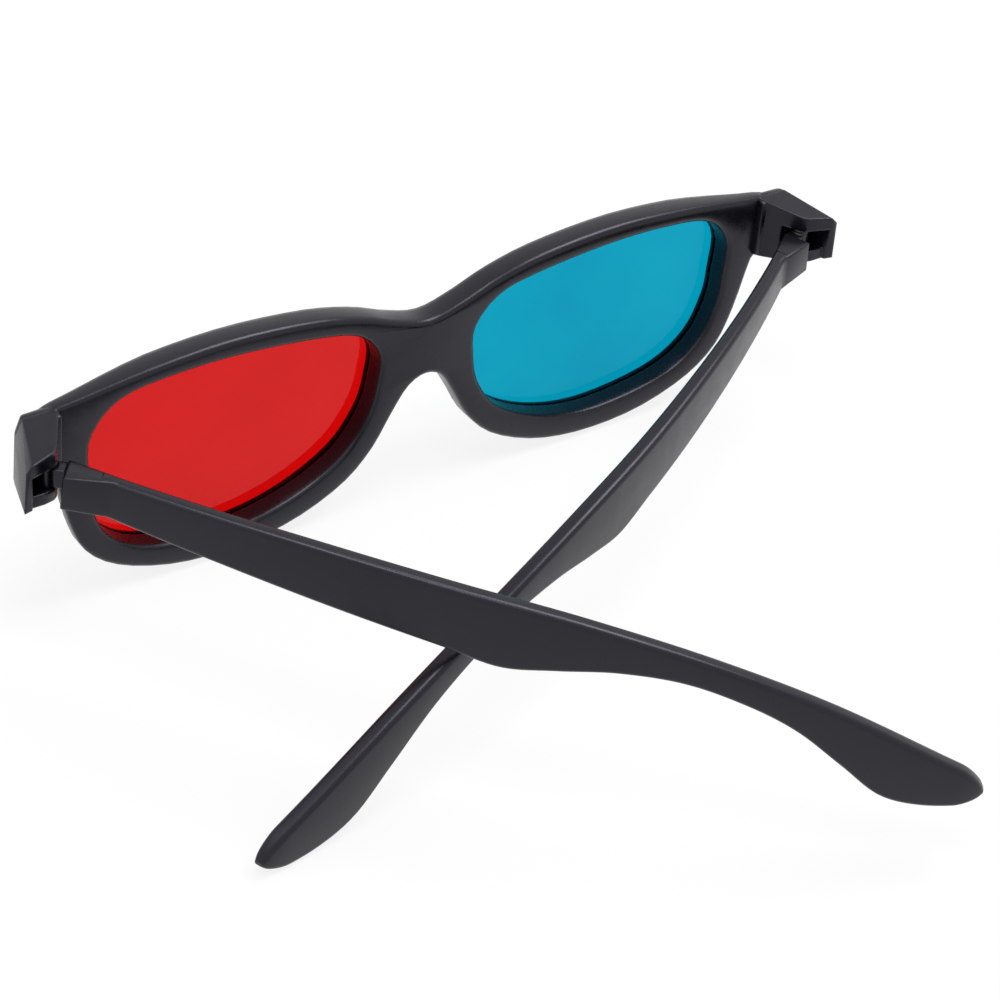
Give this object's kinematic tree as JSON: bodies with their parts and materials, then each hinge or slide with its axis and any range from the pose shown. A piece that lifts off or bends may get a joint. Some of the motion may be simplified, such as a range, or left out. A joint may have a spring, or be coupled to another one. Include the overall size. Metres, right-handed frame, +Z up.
{
  "type": "3d glasses",
  "caption": "Plastic red and cyan viewing glasses: one-piece front with flat tinted lenses in grooves and bowed temples that fold on pins.",
  "frame": {"origin": "middle of the underside of the glasses as they stand in the rest pose", "axes": "+X along the front towards the wearer's right, +Y ahead of the wearer, +Z up"},
  "size_m": [0.1522, 0.1096, 0.0395],
  "materials": {
    "front": "satin",
    "temple": "satin",
    "lens_red": "clear tinted",
    "lens_cyan": "clear tinted",
    "pin": "satin"
  },
  "bodies": {
    "front": {"front_frame": "front", "lens_left_red": "lens_red", "lens_right_cyan": "lens_cyan", "hinge_pin_left": "pin", "hinge_pin_right": "pin"},
    "left_temple": {"temple_left": "temple"},
    "right_temple": {"temple_right": "temple"}
  },
  "joints": [
    {"name": "right_fold", "type": "hinge", "parent": "front", "child": "right_temple", "pos_m": [0.07075, 0.04244, 0.03257], "axis": [0, -0.2127, -0.9771], "range_deg": [-69.8, 20.2]},
    {"name": "left_fold", "type": "hinge", "parent": "front", "child": "left_temple", "pos_m": [-0.07075, 0.04244, 0.03257], "axis": [0, 0.2127, 0.9771], "range_deg": [-50.4, 14.66]}
  ],
  "couplings": [
    {"joint": "left_fold", "follows": "right_fold", "ratio": 0.7206}
  ]
}
